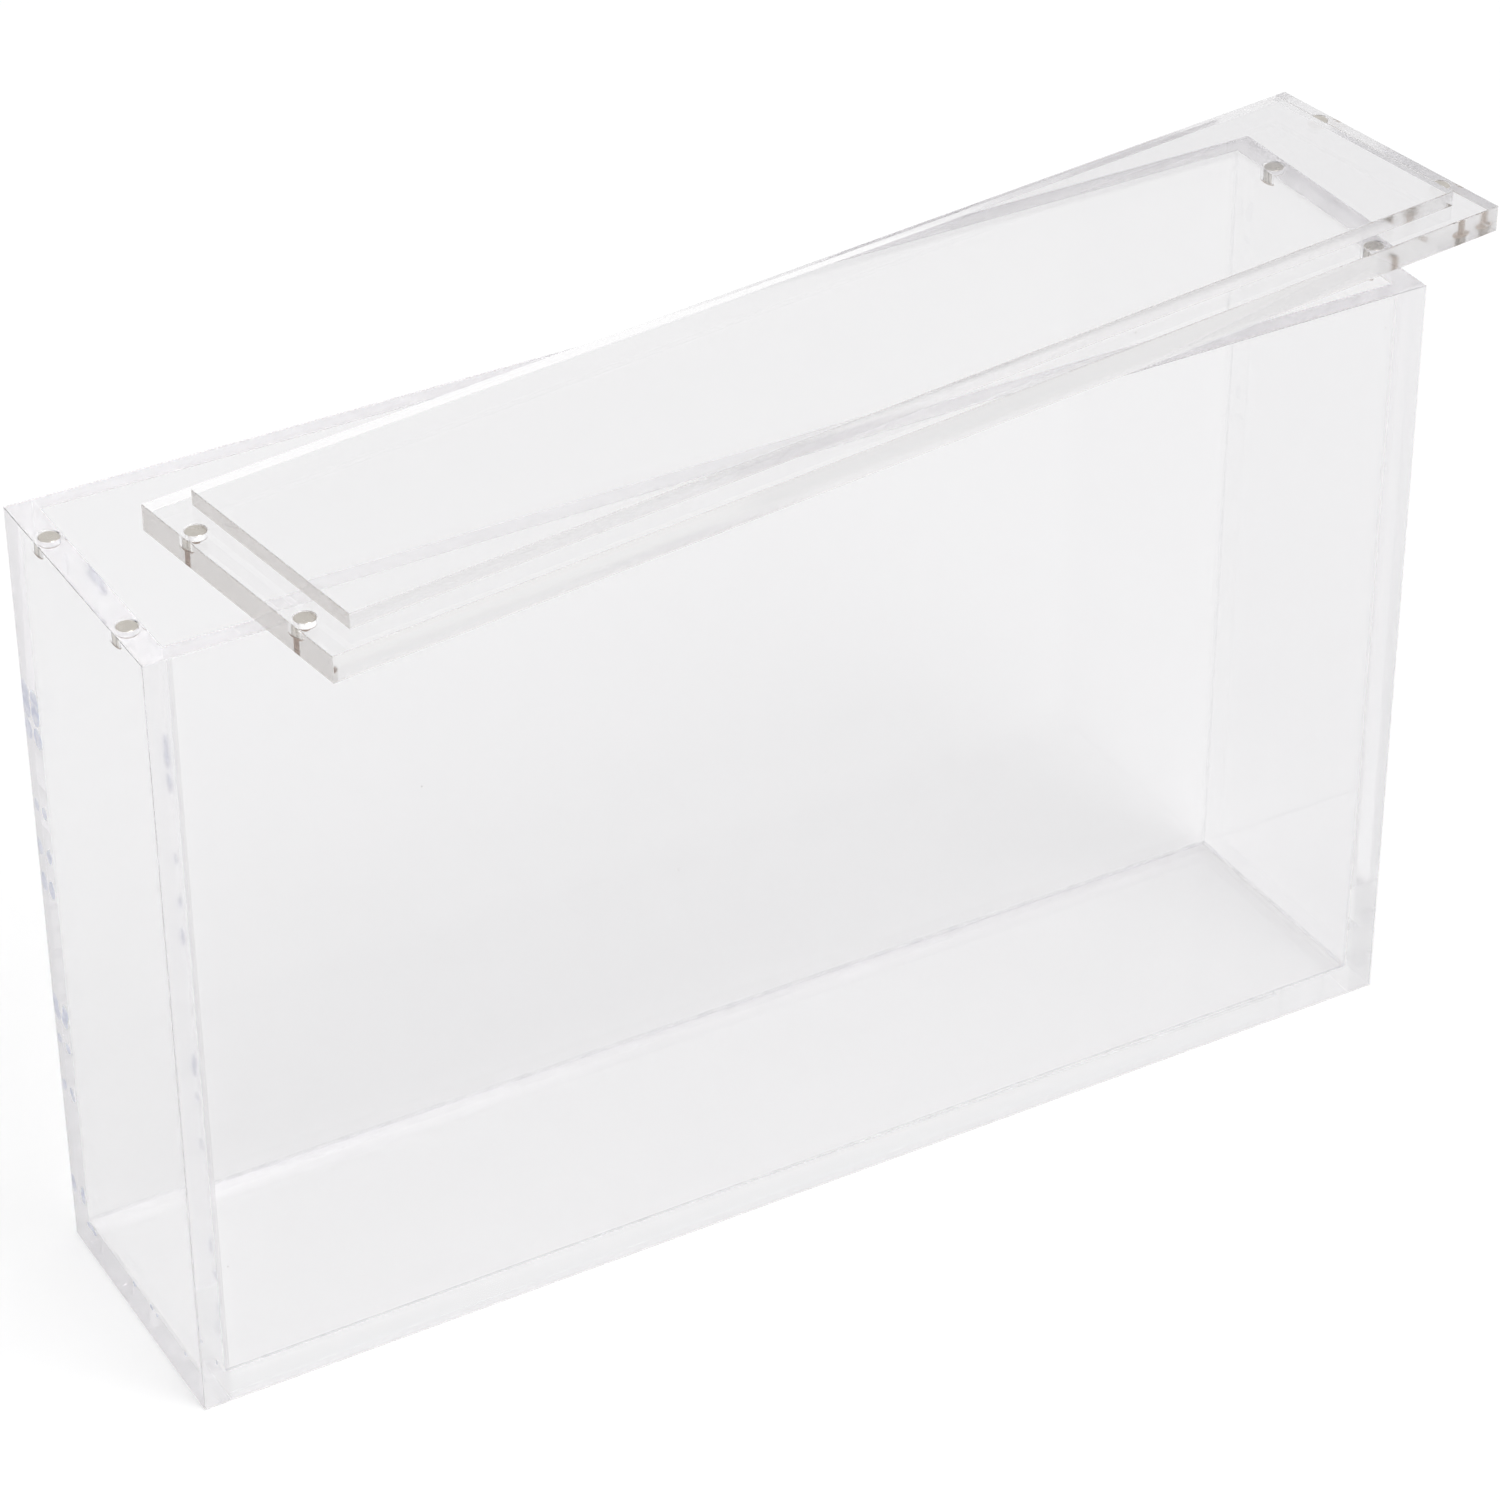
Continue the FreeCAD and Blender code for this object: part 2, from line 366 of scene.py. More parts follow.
def sheet_colour(tree, shader, shaded_past_case):
    """Tint a sheet's surface by its painted shade and its specks of dust."""
    painted_shade = read_attribute(tree, "painted_shade")
    if shaded_past_case:
        painted_shade = overhang_painted_shade(tree, painted_shade)
    specks = place_group(tree, GROUPS["dust_specks"], spread=DUST_SPREAD, size=DUST_SIZE)
    # Painted shade: grey the clear sheet's colour by each face's share.
    shaded = mix_colours(tree, painted_shade, (1.0, 1.0, 1.0), PAINTED_SHADE_TINT)
    dusty = mix_colours(tree, specks["Mask"], shaded, DUST_TINT)
    tree.links.new(dusty, shader.inputs["Base Color"])


def sheet_roughness(tree, shader, cut_roughness):
    """Dull a sheet by its handling marks, its cut edges and its drilled holes."""
    marks = place_group(tree, GROUPS["handling_marks"], amount=SHEET_MARKS)
    cuts = place_group(tree, GROUPS["cut_marks"], amount=CUT_MARK_ROUGHNESS)
    cut = read_attribute(tree, "cut_edge")
    drilled = read_attribute(tree, "drilled")
    dull = add_math(tree, "MULTIPLY", marks["Mask"], MARK_ROUGHNESS)
    cut_dull = add_math(tree, "MULTIPLY", cut, add_math(tree, "ADD", cuts["Mask"], cut_roughness))
    frosted = add_math(tree, "MULTIPLY", drilled, DRILLED_ROUGHNESS)
    rough = add_math(tree, "ADD", add_math(tree, "ADD", dull, cut_dull), frosted, clamp=True)
    tree.links.new(rough, shader.inputs["Roughness"])


def clear_sheet(name, absorb, density, cut_roughness, shaded_past_case=False):
    """Polished clear acrylic: glassy faces, slightly duller cut edges, frosted drilled holes.

    A face attribute greys each face by its own share: painted shade, set face by face for how dark each
    face looks in this light.
    Where two sheets are welded together the surface is gone, so it lets light straight through.
    """
    material, tree, shader, output = new_material(name)
    shader.inputs["IOR"].default_value = ACRYLIC_IOR
    shader.inputs["Transmission Weight"].default_value = 1.0
    shader.inputs["Metallic"].default_value = 0.0
    sheet_colour(tree, shader, shaded_past_case)
    sheet_roughness(tree, shader, cut_roughness)
    welded = read_attribute(tree, "welded")
    tree.links.new(add_math(tree, "SUBTRACT", 1.0, welded, clamp=True), shader.inputs["Alpha"])
    volume = tree.nodes.new("ShaderNodeVolumeAbsorption")
    volume.inputs["Color"].default_value = (*absorb, 1)
    volume.inputs["Density"].default_value = density
    tree.links.new(volume.outputs["Volume"], output.inputs["Volume"])
    return material


def nickel():
    """Bright nickel plate on the disc magnets, with handling marks."""
    material, tree, shader, _ = new_material("magnet_nickel_plate")
    shader.inputs["Metallic"].default_value = 1.0
    marks = place_group(tree, GROUPS["handling_marks"], amount=NICKEL_MARKS)
    cloud = noise(tree, object_point(tree), scale=900.0, detail=3.0)
    cloudy = map_range(tree, cloud, CLOUD_BAND, to_low=0.16, to_high=0.3)
    rough = add_math(tree, "ADD", cloudy, marks["Mask"])
    tree.links.new(rough, shader.inputs["Roughness"])
    add_cloudy_colour(tree, shader, cloud, NICKEL_SHADES)
    add_bump(tree, shader, marks["Mask"], strength=0.2, distance=NICKEL_DENT)
    return material


def adhesive(side):
    """Set adhesive under the magnets: glossy and a little cloudy, paler at the right end than at the
    left.
    """
    material, tree, shader, _ = new_material(f"magnet_adhesive_{side}")
    cloud = noise(tree, object_point(tree), scale=1400.0, detail=3.0)
    add_cloudy_colour(tree, shader, cloud, ADHESIVE_SHADES[side])
    rough = map_range(tree, cloud, CLOUD_BAND, to_low=0.15, to_high=0.4)
    tree.links.new(rough, shader.inputs["Roughness"])
    return material


def weld_void():
    """Unwetted spot in a welded seam: dusky blue with paler patches, and glossy."""
    material, tree, shader, _ = new_material("weld_void_gloss")
    cloud = noise(tree, object_point(tree), scale=700.0, detail=2.0)
    add_cloudy_colour(tree, shader, cloud, VOID_SHADES, reach=(0.35, 0.65))
    rough = map_range(tree, cloud, CLOUD_BAND, to_low=0.2, to_high=0.5)
    tree.links.new(rough, shader.inputs["Roughness"])
    return material


def weld_cement():
    """Set weld cement: a pale cloudy film that hides only a little of what is behind it."""
    material, tree, shader, _ = new_material("weld_cement_film")
    cloud = noise(tree, object_point(tree), scale=300.0, detail=2.0)
    add_cloudy_colour(tree, shader, cloud, CEMENT_SHADES)
    shader.inputs["Roughness"].default_value = 0.6
    patchy = map_range(tree, cloud, CLOUD_BAND, to_low=0.6, to_high=1.4)
    cover = add_math(tree, "MULTIPLY", read_attribute(tree, "cover"), patchy, clamp=True)
    tree.links.new(cover, shader.inputs["Alpha"])
    return material


GROUPS = {
    "handling_marks": handling_marks_group(),
    "cut_marks": cut_marks_group(),
    "dust_specks": dust_specks_group(),
}
CASE_ACRYLIC = clear_sheet("case_acrylic", CASE_ABSORB, CASE_ABSORB_DENSITY, CASE_CUT_ROUGHNESS)
LID_ACRYLIC = clear_sheet("lid_acrylic", LID_ABSORB, LID_ABSORB_DENSITY, LID_CUT_ROUGHNESS, shaded_past_case=True)
WELD_VOID = weld_void()
WELD_CEMENT = weld_cement()
NICKEL = nickel()
ADHESIVE = {side: adhesive(side) for side in SIDES}


# ---------------------------------------------------------------- sheets


def link_object(name, mesh, material):
    """Put a mesh in the scene as an object at the origin."""
    mesh.materials.append(material)
    piece = bpy.data.objects.new(name, mesh)
    bpy.context.scene.collection.objects.link(piece)
    return piece


def new_block(low, high):
    """Make a bmesh box between two corners."""
    shape = bmesh.new()
    bmesh.ops.create_cube(shape, size=1.0)
    size = Vector(high) - Vector(low)
    middle = (Vector(high) + Vector(low)) / 2
    bmesh.ops.scale(shape, vec=size, verts=shape.verts)
    bmesh.ops.translate(shape, vec=middle, verts=shape.verts)
    return shape


def round_edges(shape, width, wanted):
    """Round the edges that the wanted test picks from their two ends."""
    edges = [edge for edge in shape.edges if wanted(edge.verts[0].co, edge.verts[1].co)]
    bmesh.ops.bevel(
        shape, geom=edges, offset=width, segments=3, profile=0.5, affect="EDGES", clamp_overlap=True
    )


def slice_at(shape, axis, level):
    """Split the faces of a shape where they cross a level along an axis."""
    normal = [0, 0, 0]
    normal[axis] = 1
    point = [0, 0, 0]
    point[axis] = level
    geometry = list(shape.verts) + list(shape.edges) + list(shape.faces)
    bmesh.ops.bisect_plane(shape, geom=geometry, dist=FLAT, plane_co=point, plane_no=normal)


def mark_faces(shape, label, wanted, value=1.0):
    """Write a value to a face attribute where the wanted test holds, given centre and normal."""
    layer = shape.faces.layers.float.get(label) or shape.faces.layers.float.new(label)
    for face in shape.faces:
        if wanted(face.calc_center_median(), face.normal):
            face[layer] = value


def to_mesh(shape, name, place=None):
    """Turn a finished bmesh into a mesh in its place."""
    bmesh.ops.recalc_face_normals(shape, faces=shape.faces)
    for label in ("welded", "cut_edge", "drilled", "painted_shade", "cover"):
        if shape.faces.layers.float.get(label) is None:
            shape.faces.layers.float.new(label)
    mesh = bpy.data.meshes.new(name)
    shape.to_mesh(mesh)
    shape.free()
    if place is not None:
        mesh.transform(place)
    return mesh


def pocket_rings(radius, top, seat, floor):
    """Profile of a magnet pocket: the adhesive wets its foot, and its mouth is flared."""
    foot = radius - GLUE_WETS_IN
    return [
        (floor + GLUE_WETS_IN, foot),
        (seat - GLUE_WETS_IN, foot),
        (seat - GLUE_WETS_IN / 2, radius),
        (top - MOUTH_FLARE, radius),
        (top, radius + MOUTH_FLARE),
        (top + 4 * MOUTH_FLARE, radius + MOUTH_FLARE),
    ]


def drill_cutter(name, spots, rings, place=None):
    """Make the cutter of a set of like holes from one turned profile."""
    shape = bmesh.new()
    for spot in spots:
        add_turned(shape, rings, spot, HOLE_STEPS)
    mark_faces(shape, "drilled", lambda centre, normal: True)
    mesh = to_mesh(shape, name, place)
    return link_object(name, mesh, CASE_ACRYLIC)


def add_turned(shape, rings, spot, steps):
    """Add a closed turned solid to a bmesh from (height, radius) rings, bottom to top."""
    circles = []
    for height, radius in rings:
        circle = []
        for step in range(steps):
            angle = 2 * math.pi * step / steps
            across = spot[0] + radius * math.cos(angle)
            along = spot[1] + radius * math.sin(angle)
            circle.append(shape.verts.new((across, along, height)))
        circles.append(circle)
    for lower, upper in zip(circles, circles[1:]):
        for step in range(steps):
            following = (step + 1) % steps
            shape.faces.new((lower[step], lower[following], upper[following], upper[step]))
    shape.faces.new(list(reversed(circles[0])))
    shape.faces.new(circles[-1])


def cut_holes(piece, cutter):
    """Cut the holes out of a piece and keep the plain result."""
    modifier = piece.modifiers.new("holes", "BOOLEAN")
    modifier.operation = "DIFFERENCE"
    modifier.solver = "EXACT"
    modifier.object = cutter
    apply_modifiers(piece)
    bpy.data.objects.remove(cutter)


def apply_modifiers(piece):
    """Replace a piece's mesh with its evaluated one."""
    graph = bpy.context.evaluated_depsgraph_get()
    result = bpy.data.meshes.new_from_object(piece.evaluated_get(graph))
    piece.modifiers.clear()
    piece.data = result


def finish_piece(piece, body, node):
    """Ride a piece on its body in the place of its part."""
    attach(piece, body)
    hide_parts(node)


def make_end_panel(side):
    """End panel: covers the ends of the front, back and base panels, and holds two magnets."""
    node = f"{side}_end_panel"
    low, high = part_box(node)
    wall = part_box("front_panel")[1].y
    floor_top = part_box("base_panel")[1].z
    inner = high.x if side == "left" else low.x
    shape = new_block(low, high)
    round_edges(
        shape,
        EDGE_ROUND,
        lambda one, other: not (abs(one.x - inner) < FLAT and abs(other.x - inner) < FLAT),
    )
    slice_at(shape, 1, wall)
    slice_at(shape, 1, -wall)
    slice_at(shape, 2, floor_top)
    mark_faces(
        shape,
        "welded",
        lambda centre, normal: abs(centre.x - inner) < FLAT
        and (abs(centre.y) > abs(wall) or centre.z < floor_top),
    )
    painted_shade = FACE_PAINTED_SHADE[f"{side}_end"]
    mark_faces(shape, "cut_edge", lambda centre, normal: abs(normal.x) < 0.5)
    # Painted shade: each face and edge of the end panel greyed by its own share.
    mark_faces(shape, "painted_shade", lambda centre, normal: abs(normal.x) > 0.5, painted_shade)
    mark_faces(shape, "painted_shade", lambda centre, normal: abs(normal.y) > 0.5, UPRIGHT_EDGE_PAINTED_SHADE)
    mark_faces(shape, "painted_shade", lambda centre, normal: abs(normal.z) > 0.5, RIM_PAINTED_SHADE)
    piece = link_object(f"{node}_sheet", to_mesh(shape, node), CASE_ACRYLIC)
    spots = [centre_of(f"case_magnet_{side}_{face}") for face in FACES]
    glue_low, glue_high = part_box(f"case_glue_{side}_front")
    radius = (glue_high.x - glue_low.x) / 2
    rings = pocket_rings(radius, high.z, glue_high.z, glue_low.z)
    cut_holes(piece, drill_cutter("case_pockets", spots, rings))
    finish_piece(piece, "case", node)


def make_long_panel(face):
    """Front or back panel: welded between the end panels and along the base."""
    node = f"{face}_panel"
    low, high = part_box(node)
    floor_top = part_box("base_panel")[1].z
    inner = high.y if face == "front" else low.y
    weld_in = Vector((WELD_GAP, 0, 0))
    shape = new_block(low + weld_in, high - weld_in)
    round_edges(
        shape,
        EDGE_ROUND,
        lambda one, other: abs(one.x - other.x) > FLAT
        and not (abs(one.y - inner) < FLAT and abs(one.z - low.z) < FLAT),
    )
    slice_at(shape, 2, floor_top)
    mark_faces(
        shape,
        "welded",
        lambda centre, normal: abs(normal.x) > 0.5
        or (abs(centre.y - inner) < FLAT and centre.z < floor_top),
    )
    mark_faces(shape, "cut_edge", lambda centre, normal: abs(normal.z) > 0.5)
    # Painted shade: each face and edge of the long panel greyed by its own share.
    mark_faces(shape, "painted_shade", lambda centre, normal: abs(normal.y) > 0.5, FACE_PAINTED_SHADE[face])
    mark_faces(shape, "painted_shade", lambda centre, normal: abs(normal.z) > 0.5, RIM_PAINTED_SHADE)
    piece = link_object(f"{node}_sheet", to_mesh(shape, node), CASE_ACRYLIC)
    finish_piece(piece, "case", node)


def make_base_panel():
    """Base panel: welded to all four upright panels."""
    low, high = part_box("base_panel")
    weld_in = Vector((WELD_GAP, WELD_GAP, 0))
    shape = new_block(low + weld_in, high - weld_in)
    mark_faces(shape, "welded", lambda centre, normal: abs(normal.z) < 0.5)
    # Painted shade: the base's broad faces greyed by their share.
    mark_faces(shape, "painted_shade", lambda centre, normal: abs(normal.z) > 0.5, FACE_PAINTED_SHADE["base"])
    piece = link_object("base_panel_sheet", to_mesh(shape, "base_panel"), CASE_ACRYLIC)
    finish_piece(piece, "case", "base_panel")


def set_cover(shape, faces, cover):
    """Say how much of the view a film or bead of cement hides."""
    layer = shape.faces.layers.float["cover"]
    for face in faces:
        face[layer] = cover


def add_bead(shape, start, end, one_way, other_way, cover):
    """Add a bead of weld cement along an inside corner, with a hollow face."""
    start = start + (one_way + other_way) * BEAD_CLEARANCE
    end = end + (one_way + other_way) * BEAD_CLEARANCE
    section = [Vector()]
    for step in range(BEAD_STEPS + 1):
        angle = math.pi / 2 * step / BEAD_STEPS
        point = one_way * (1 - math.sin(angle)) + other_way * (1 - math.cos(angle))
        section.append(point * BEAD_LEG)
    first = [shape.verts.new(start + point) for point in section]
    last = [shape.verts.new(end + point) for point in section]
    faces = [shape.faces.new(list(reversed(first))), shape.faces.new(last)]
    for index in range(len(section)):
        following = (index + 1) % len(section)
        corners = (first[index], first[following], last[following], last[index])
        faces.append(shape.faces.new(corners))
    set_cover(shape, faces, cover)


def add_film(shape, low, high, cover):
    """Add a thin film of weld cement between two sheets."""
    moved = bmesh.ops.create_cube(shape, size=1.0)["verts"]
    for vertex in moved:
        for axis in range(3):
            centre = (low[axis] + high[axis]) / 2
            vertex.co[axis] = centre + vertex.co[axis] * (high[axis] - low[axis])
    faces = {face for vertex in moved for face in vertex.link_faces}
    set_cover(shape, faces, cover)


def make_weld_cement():
    """Cement of the welds: a bead in each inside corner, and the cloudier seams' films."""
    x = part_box("base_panel")[1].x
    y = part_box("base_panel")[1].y
    out_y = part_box("back_panel")[1].y
    floor_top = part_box("base_panel")[1].z
    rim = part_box("front_panel")[1].z
    half = FILM_THICKNESS / 2
    margin = 2 * EDGE_ROUND
    shape = bmesh.new()
    shape.faces.layers.float.new("cover")
    up = Vector((0, 0, 1))
    for x_sign in (-1, 1):
        inward_x = Vector((-x_sign, 0, 0))
        for y_sign in (-1, 1):
            inward_y = Vector((0, -y_sign, 0))
            foot = Vector((x_sign * x, y_sign * y, floor_top))
            head = Vector((foot.x, foot.y, rim - margin))
            add_bead(shape, foot, head, inward_x, inward_y, UPRIGHT_BEAD_COVER)
        ends = [Vector((x_sign * x, y_sign * y, floor_top)) for y_sign in (-1, 1)]
        add_bead(shape, *ends, inward_x, up, BASE_BEAD_COVER)
    for y_sign in (-1, 1):
        ends = [Vector((x_sign * x, y_sign * y, floor_top)) for x_sign in (-1, 1)]
        add_bead(shape, *ends, Vector((0, -y_sign, 0)), up, BASE_BEAD_COVER)
    add_film(shape, (x - half, -y, margin), (x + half, y, floor_top), BASE_END_FILM_COVER)
    add_film(shape, (-x, y - half, margin), (x, y + half, floor_top), BASE_BACK_FILM_COVER)
    low, high = (x - half, -out_y + margin, margin), (x + half, -y, rim - margin)
    add_film(shape, low, high, UPRIGHT_FILM_COVER)
    bmesh.ops.recalc_face_normals(shape, faces=shape.faces)
    cement = link_object("weld_cement", to_mesh(shape, "weld_cement"), WELD_CEMENT)
    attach(cement, "case")


def mark_lid_faces(shape):
    """Mark the cut edges of a lid sheet and the painted shade of its edges and faces."""
    mark_faces(shape, "cut_edge", lambda centre, normal: abs(normal.z) < 0.5)
    mark_faces(shape, "painted_shade", lambda centre, normal: abs(normal.z) < 0.5, LID_EDGE_PAINTED_SHADE)
    mark_faces(shape, "painted_shade", lambda centre, normal: abs(normal.z) > 0.5, LID_FACE_PAINTED_SHADE)


def cut_lid_pockets(plate, place, thick):
    """Cut the stepped magnet holes: a pilot hole right through, and a pocket on top of it."""
    back = place.inverted()
    corners = [f"{side}_{face}" for side in SIDES for face in FACES]
    spots = [back @ centre_of(f"lid_magnet_{corner}") for corner in corners]
    glue_low, glue_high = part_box(f"lid_glue_{corners[0]}")
    radius = (glue_high.x - glue_low.x) / 2
    seat = glue_high.z - glue_low.z
    pilot = PILOT_RADIUS - GLUE_WETS_IN
    rings = [(-LID_AIR_GAP, pilot), (seat - BEAD_THICKNESS, pilot)]
    rings += pocket_rings(radius, thick, seat, seat - BEAD_THICKNESS)
    cut_holes(plate, drill_cutter("lid_pockets", spots, rings, place))


def make_lid_plate(place, size, plug_half, thick):
    """Lid plate: welded to the plug on its inner face, and holds four magnets."""
    plug_x, plug_y = plug_half
    half_x, half_y = size[0] / 2, size[1] / 2
    shape = new_block((-half_x, -half_y, LID_AIR_GAP), (half_x, half_y, thick))
    round_edges(shape, LID_EDGE_ROUND, lambda one, other: True)
    for axis, level in ((0, plug_x), (0, -plug_x), (1, plug_y), (1, -plug_y)):
        slice_at(shape, axis, level)
    mark_faces(
        shape,
        "welded",
        lambda centre, normal: abs(centre.z - thick) < FLAT
        and abs(centre.x) < plug_x
        and abs(centre.y) < plug_y,
    )
    mark_lid_faces(shape)
    plate = link_object("lid_plate_sheet", to_mesh(shape, "lid_plate", place), LID_ACRYLIC)
    cut_lid_pockets(plate, place, thick)
    finish_piece(plate, "lid", "lid_plate")


def make_lid_plug(place, plug_half, thick, plug_top):
    """Lid plug: the thinner sheet welded on the plate's inner face."""
    plug_x, plug_y = plug_half
    foot = thick + WELD_GAP
    shape = new_block((-plug_x, -plug_y, foot), (plug_x, plug_y, plug_top))
    round_edges(
        shape,
        LID_EDGE_ROUND,
        lambda one, other: not (abs(one.z - foot) < FLAT and abs(other.z - foot) < FLAT),
    )
    mark_faces(shape, "welded", lambda centre, normal: abs(centre.z - foot) < FLAT)
    mark_lid_faces(shape)
    plug = link_object("lid_plug_sheet", to_mesh(shape, "lid_plug", place), LID_ACRYLIC)
    finish_piece(plug, "lid", "lid_plug")


def make_lid_sheets():
    """Both sheets of the lid, shaped in the lid's own frame and laid in its place."""
    place = lid_frame()
    angle = math.atan2(place[1][0], place[0][0])
    size = turned_size("lid_plate", angle)
    plug_length, plug_depth = turned_size("lid_plug", angle)
    plug_half = (plug_length / 2, plug_depth / 2)
    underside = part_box("lid_plate")[0].z
    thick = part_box("lid_plate")[1].z - underside
    plug_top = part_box("lid_plug")[1].z - underside
    make_lid_plate(place, size, plug_half, thick)
    make_lid_plug(place, plug_half, thick, plug_top)


for side_name in SIDES:
    make_end_panel(side_name)
for face_name in FACES:
    make_long_panel(face_name)
make_base_panel()
make_weld_cement()
make_lid_sheets()

# ---------------------------------------------------------------- voids in the welded seams


def set_input(modifier, tree, label, value):
    """Set a modifier's named input by its socket identifier."""
    for item in tree.interface.items_tree:
        if item.item_type == "SOCKET" and item.in_out == "INPUT" and item.name == label:
            modifier[item.identifier] = value


def add_void_inputs(tree):
    """Name what a patch of voids is made from."""
    for label, kind in (
        ("Count", "NodeSocketInt"),
        ("Smallest", "NodeSocketFloat"),
        ("Largest", "NodeSocketFloat"),
        ("Seed", "NodeSocketInt"),
        ("Low corner", "NodeSocketVector"),
        ("High corner", "NodeSocketVector"),
        ("Flatness", "NodeSocketVector"),
        ("Material", "NodeSocketMaterial"),
    ):
        tree.interface.new_socket(label, in_out="INPUT", socket_type=kind)
    tree.interface.new_socket("Geometry", in_out="OUTPUT", socket_type="NodeSocketGeometry")


def add_void_points(tree, given):
    """Geometry Nodes: points scattered between the two corners of a strip of seam."""
    points = tree.nodes.new("GeometryNodePoints")
    tree.links.new(given["Count"], points.inputs["Count"])
    place = tree.nodes.new("FunctionNodeRandomValue")
    place.data_type = "FLOAT_VECTOR"
    tree.links.new(given["Low corner"], place.inputs["Min"])
    tree.links.new(given["High corner"], place.inputs["Max"])
    tree.links.new(given["Seed"], place.inputs["Seed"])
    tree.links.new(place.outputs["Value"], points.inputs["Position"])
    return points.outputs["Points"]


def add_void_size(tree, given):
    """Geometry Nodes: each blob's own size, flattened along the seam."""
    size = tree.nodes.new("FunctionNodeRandomValue")
    size.data_type = "FLOAT"
    tree.links.new(given["Smallest"], size.inputs[2])
    tree.links.new(given["Largest"], size.inputs[3])
    tree.links.new(given["Seed"], size.inputs["Seed"])
    stretch = tree.nodes.new("ShaderNodeVectorMath")
    stretch.operation = "SCALE"
    tree.links.new(given["Flatness"], stretch.inputs[0])
    tree.links.new(size.outputs[1], stretch.inputs["Scale"])
    return stretch.outputs["Vector"]


def void_tree():
    """Geometry Nodes: flat blobs scattered over a strip of seam."""
    tree = bpy.data.node_groups.new("weld_voids", "GeometryNodeTree")
    add_void_inputs(tree)
    given = tree.nodes.new("NodeGroupInput").outputs
    made = tree.nodes.new("NodeGroupOutput")
    blob = tree.nodes.new("GeometryNodeMeshIcoSphere")
    blob.inputs["Radius"].default_value = 1.0
    blob.inputs["Subdivisions"].default_value = 3
    spread = tree.nodes.new("GeometryNodeInstanceOnPoints")
    tree.links.new(add_void_points(tree, given), spread.inputs["Points"])
    tree.links.new(blob.outputs["Mesh"], spread.inputs["Instance"])
    tree.links.new(add_void_size(tree, given), spread.inputs["Scale"])
    real = tree.nodes.new("GeometryNodeRealizeInstances")
    tree.links.new(spread.outputs["Instances"], real.inputs["Geometry"])
    paint = tree.nodes.new("GeometryNodeSetMaterial")
    tree.links.new(real.outputs["Geometry"], paint.inputs["Geometry"])
    tree.links.new(given["Material"], paint.inputs["Material"])
    tree.links.new(paint.outputs["Geometry"], made.inputs["Geometry"])
    return tree


def ruffle(mesh):
    """Push vertices about so that round blobs get ragged outlines."""
    for vertex in mesh.vertices:
        across = math.sin(vertex.co.y / RUFFLE_PITCH * RUFFLE_ACROSS + RUFFLE_SHIFT)
        vertex.co.z += RUFFLE_DEPTH * (math.sin(vertex.co.z / RUFFLE_PITCH) + across)
        sideways = math.sin(vertex.co.z / RUFFLE_PITCH * RUFFLE_SIDE_PITCH)
        vertex.co.y += RUFFLE_DEPTH * RUFFLE_SIDEWAYS * sideways


def make_weld_voids(name, tree, corners, count, sizes, seed, flatness):
    """Scatter one patch of seam voids and make it a plain piece of the case."""
    piece = bpy.data.objects.new(name, bpy.data.meshes.new(name))
    bpy.context.scene.collection.objects.link(piece)
    modifier = piece.modifiers.new("voids", "NODES")
    modifier.node_group = tree
    for label, value in (
        ("Count", count),
        ("Smallest", sizes[0]),
        ("Largest", sizes[1]),
        ("Seed", seed),
        ("Low corner", corners[0]),
        ("High corner", corners[1]),
        ("Flatness", flatness),
        ("Material", WELD_VOID),
    ):
        set_input(modifier, tree, label, value)
    apply_modifiers(piece)
    ruffle(piece.data)
    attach(piece, "case")


def make_upright_voids(tree, seam):
    """Voids up the back left seam, thickest high up."""
    low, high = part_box("back_panel")
    middle = (low.y + high.y) / 2
    for name, count, largest, seed, reach in UPRIGHT_VOIDS:
        corners = (
            (seam, middle - UPRIGHT_VOID_DRIFT, high.z * reach[0]),
            (seam, middle + UPRIGHT_VOID_DRIFT, high.z * reach[1]),
        )
        sizes = (largest / 2, largest)
        make_weld_voids(name, tree, corners, count, sizes, seed, UPRIGHT_VOID_FLATNESS)


def make_base_voids(tree, seam):
    """A few voids along the base's left end, and some more in its back corner."""
    floor_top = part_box("base_panel")[1].z
    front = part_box("base_panel")[0].y
    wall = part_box("back_panel")[0].y
    corners = (
        (seam, front + DOT_FRONT_MARGIN, floor_top - DOT_DEPTHS[0]),
        (seam, DOT_BACK_LIMIT, floor_top - DOT_DEPTHS[1]),
    )
    shape = {"count": 5, "seed": 4, "sizes": DOT_SIZES, "flatness": DOT_FLATNESS}
    make_weld_voids("base_seam_voids", tree, corners, **shape)
    corners = (
        (seam, wall - PATCH_LENGTH, floor_top - PATCH_DEPTHS[0]),
        (seam, wall, floor_top - PATCH_DEPTHS[1]),
    )
    shape = {"count": 3, "seed": 2, "sizes": PATCH_SIZES, "flatness": PATCH_FLATNESS}
    make_weld_voids("corner_voids", tree, corners, **shape)


def paint_magnets_and_adhesive():
    """Give the parts that keep their own shape their nickel or adhesive."""
    for name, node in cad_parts.items():
        if "magnet" in name:
            node.data.materials.clear()
            node.data.materials.append(NICKEL)
        if "glue" in name:
            side = "left" if "_left_" in name else "right"
            node.data.materials.clear()
            node.data.materials.append(ADHESIVE[side])


VOID_TREE = void_tree()
LEFT_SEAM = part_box("left_end_panel")[1].x
make_upright_voids(VOID_TREE, LEFT_SEAM)
make_base_voids(VOID_TREE, LEFT_SEAM)
paint_magnets_and_adhesive()


# ---------------------------------------------------------------- studio


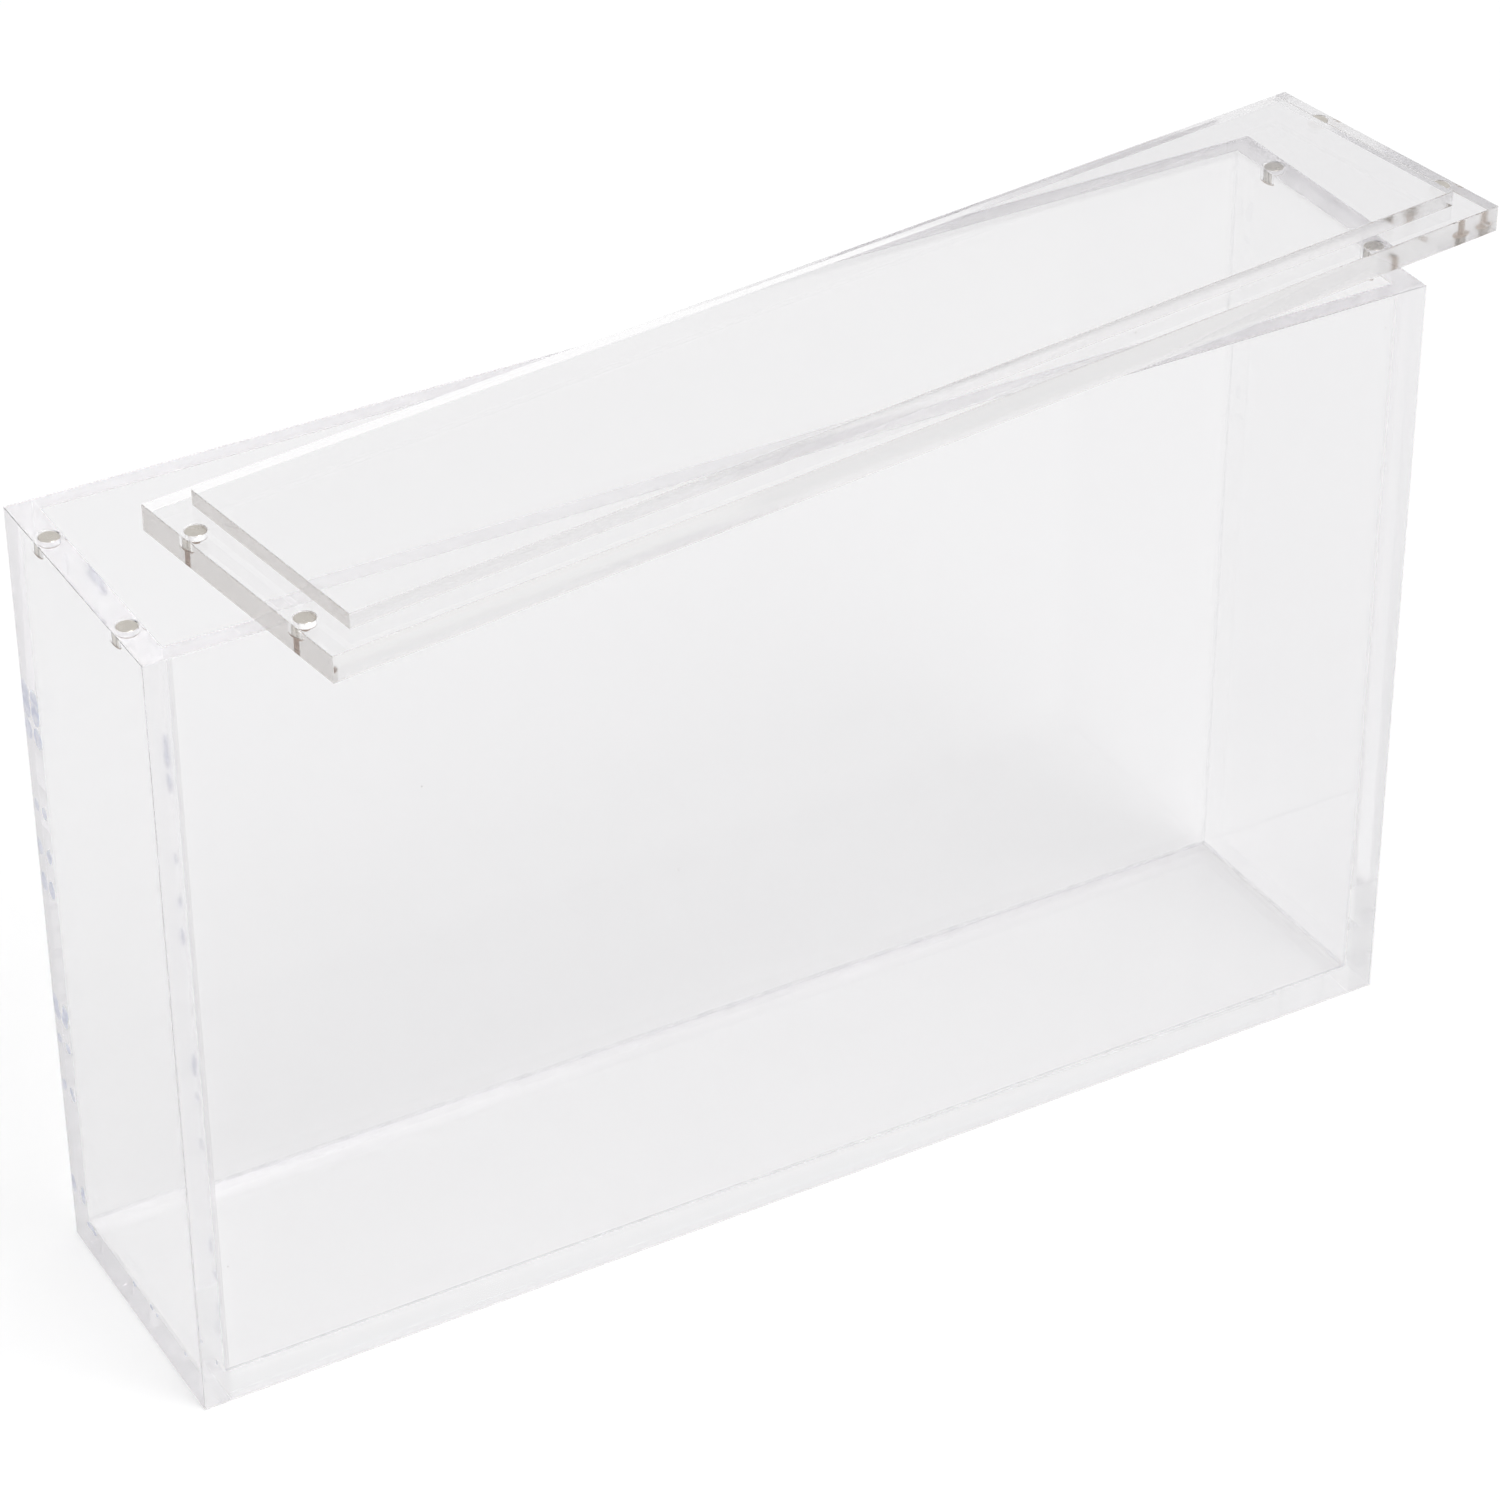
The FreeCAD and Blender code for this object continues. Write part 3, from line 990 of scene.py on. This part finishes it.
def make_floor():
    """Pale floor just under the case."""
    mesh = bpy.data.meshes.new("studio_floor")
    outline = ((-1, -1), (1, -1), (1, 1), (-1, 1))
    corners = [(x * FLOOR_REACH, y * FLOOR_REACH, -FLOOR_DROP) for x, y in outline]
    mesh.from_pydata(corners, [], [(0, 1, 2, 3)])
    material, _, shader, _ = new_material("studio_floor_paint")
    shader.inputs["Base Color"].default_value = (FLOOR_SHADE, FLOOR_SHADE, FLOOR_SHADE, 1)
    shader.inputs["Roughness"].default_value = 1.0
    shader.inputs["Specular IOR Level"].default_value = 0.0
    link_object("studio_floor", mesh, material)


def make_world():
    """Soft surround: bright overhead and dimmer towards the horizon."""
    world = bpy.data.worlds.new("studio_surround")
    bpy.context.scene.world = world
    world.use_nodes = True
    tree = world.node_tree
    background = tree.nodes["Background"]
    place = tree.nodes.new("ShaderNodeTexCoord")
    split = tree.nodes.new("ShaderNodeSeparateXYZ")
    tree.links.new(place.outputs["Generated"], split.inputs["Vector"])
    ramp = tree.nodes.new("ShaderNodeValToRGB")
    while len(ramp.color_ramp.elements) < len(SURROUND_STOPS):
        ramp.color_ramp.elements.new(0.5)
    for element, (position, value) in zip(ramp.color_ramp.elements, SURROUND_STOPS):
        element.position = position
        element.color = (value, value, value, 1)
    tree.links.new(split.outputs["Z"], ramp.inputs["Fac"])
    tree.links.new(ramp.outputs["Color"], background.inputs["Color"])
    background.inputs["Strength"].default_value = 1.0


def place_in_studio(name, data, location, turn):
    """Put a light or a camera in the scene."""
    item = bpy.data.objects.new(name, data)
    bpy.context.scene.collection.objects.link(item)
    item.rotation_mode = "QUATERNION"
    item.location = location
    item.rotation_quaternion = turn
    return item


def make_key_light():
    """Broad soft light in front, a little to the right, whose faint shade falls behind."""
    data = bpy.data.lights.new("front_softbox", "AREA")
    data.shape = "SQUARE"
    data.size = SOFTBOX_SIZE
    data.energy = SOFTBOX_POWER
    toward = Vector(SOFTBOX_WAY).normalized()
    turn = (-toward).to_track_quat("-Z", "Y")
    place_in_studio("front_softbox", data, toward * SOFTBOX_DISTANCE, turn)


def make_camera():
    """Camera in front of the left end, looking down on the case."""
    data = bpy.data.cameras.new("studio_camera")
    data.lens = CAMERA_LENS
    data.sensor_width = SENSOR_WIDTH
    level = math.cos(CAMERA_ELEVATION)
    back = Vector(
        (
            math.sin(CAMERA_AZIMUTH) * level,
            -math.cos(CAMERA_AZIMUTH) * level,
            math.sin(CAMERA_ELEVATION),
        )
    )
    location = CAMERA_AIM + back * CAMERA_DISTANCE
    tilt = Matrix.Rotation(CAMERA_ROLL, 3, back).to_quaternion()
    turn = tilt @ (-back).to_track_quat("-Z", "Y")
    bpy.context.scene.camera = place_in_studio("studio_camera", data, location, turn)


def set_light_paths():
    """Let light make the many turns that clear sheet needs."""
    scene = bpy.context.scene
    scene.view_settings.view_transform = "Standard"
    scene.cycles.max_bounces = LIGHT_TURNS
    scene.cycles.glossy_bounces = LIGHT_TURNS
    scene.cycles.transmission_bounces = LIGHT_TURNS
    scene.cycles.transparent_max_bounces = LIGHT_TURNS
    scene.cycles.diffuse_bounces = 3
    scene.cycles.volume_bounces = 0
    scene.cycles.blur_glossy = 0.0


make_floor()
make_world()
make_key_light()
make_camera()
set_light_paths()
